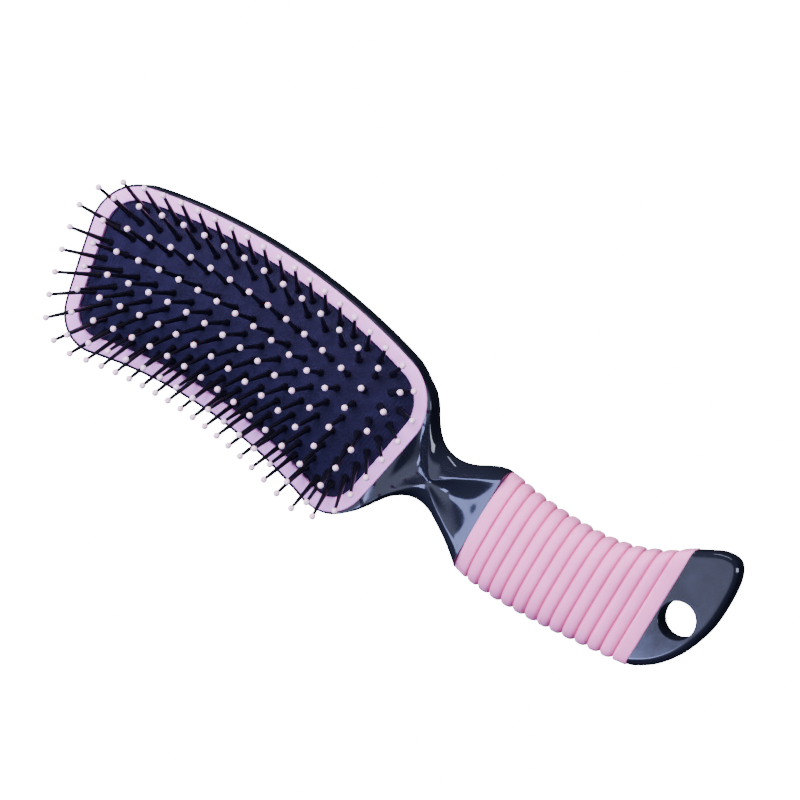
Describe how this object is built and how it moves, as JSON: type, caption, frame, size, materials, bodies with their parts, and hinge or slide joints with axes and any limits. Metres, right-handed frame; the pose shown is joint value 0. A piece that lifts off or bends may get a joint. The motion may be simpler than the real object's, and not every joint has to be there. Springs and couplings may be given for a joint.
{
  "type": "cushioned pin hair brush",
  "caption": "Paddle-type hair brush with an S-curved body, a domed air cushion of ball-tipped pins, a flat retaining ring, a ribbed soft grip and a tail with a hanging hole.",
  "frame": {"origin": "centre of the hanging hole in the tail, on the brush's middle plane", "axes": "+Y runs along the brush from the tail to the head, +Z points out of the pin side along the hanging hole, +X is to the right seen from the pin side with the head up"},
  "size_m": [0.0661, 0.2464, 0.0384],
  "materials": {
    "gloss_black_abs": "injection-moulded black ABS, polished to a high gloss",
    "pink_abs": "injection-moulded pale pink ABS, semi-gloss",
    "black_rubber": "moulded natural rubber with a fine woven texture, matt",
    "pink_tpr": "overmoulded pale pink thermoplastic rubber, satin",
    "black_nylon": "injection-moulded black nylon, semi-gloss",
    "ball_tip_resin": "pale pink dipped resin ball, glossy"
  },
  "bodies": {
    "handle": {"body": "gloss_black_abs", "retaining_ring": "pink_abs", "grip_sleeve": "pink_tpr"},
    "pad": {"cushion": "black_rubber", "pin_row_01": "black_nylon", "pin_row_02": "black_nylon", "pin_row_03": "black_nylon", "pin_row_04": "black_nylon", "pin_row_05": "black_nylon", "pin_row_06": "black_nylon", "pin_row_07": "black_nylon", "pin_row_08": "black_nylon", "pin_row_09": "black_nylon", "pin_row_10": "black_nylon", "pin_row_11": "black_nylon", "pin_row_12": "black_nylon", "pin_row_13": "black_nylon", "pin_row_14": "black_nylon", "pin_row_15": "black_nylon", "pin_row_16": "black_nylon", "pin_row_17": "black_nylon", "ball_tips_row_01": "ball_tip_resin", "ball_tips_row_02": "ball_tip_resin", "ball_tips_row_03": "ball_tip_resin", "ball_tips_row_04": "ball_tip_resin", "ball_tips_row_05": "ball_tip_resin", "ball_tips_row_06": "ball_tip_resin", "ball_tips_row_07": "ball_tip_resin", "ball_tips_row_08": "ball_tip_resin", "ball_tips_row_09": "ball_tip_resin", "ball_tips_row_10": "ball_tip_resin", "ball_tips_row_11": "ball_tip_resin", "ball_tips_row_12": "ball_tip_resin", "ball_tips_row_13": "ball_tip_resin", "ball_tips_row_14": "ball_tip_resin", "ball_tips_row_15": "ball_tip_resin", "ball_tips_row_16": "ball_tip_resin", "ball_tips_row_17": "ball_tip_resin"}
  },
  "joints": [
    {"name": "cushion_press", "type": "slide", "parent": "handle", "child": "pad", "axis": [0, 0, -1], "range_m": [0, 0.003], "stiffness_N_per_m": 2500, "deforming": ["cushion"]}
  ]
}
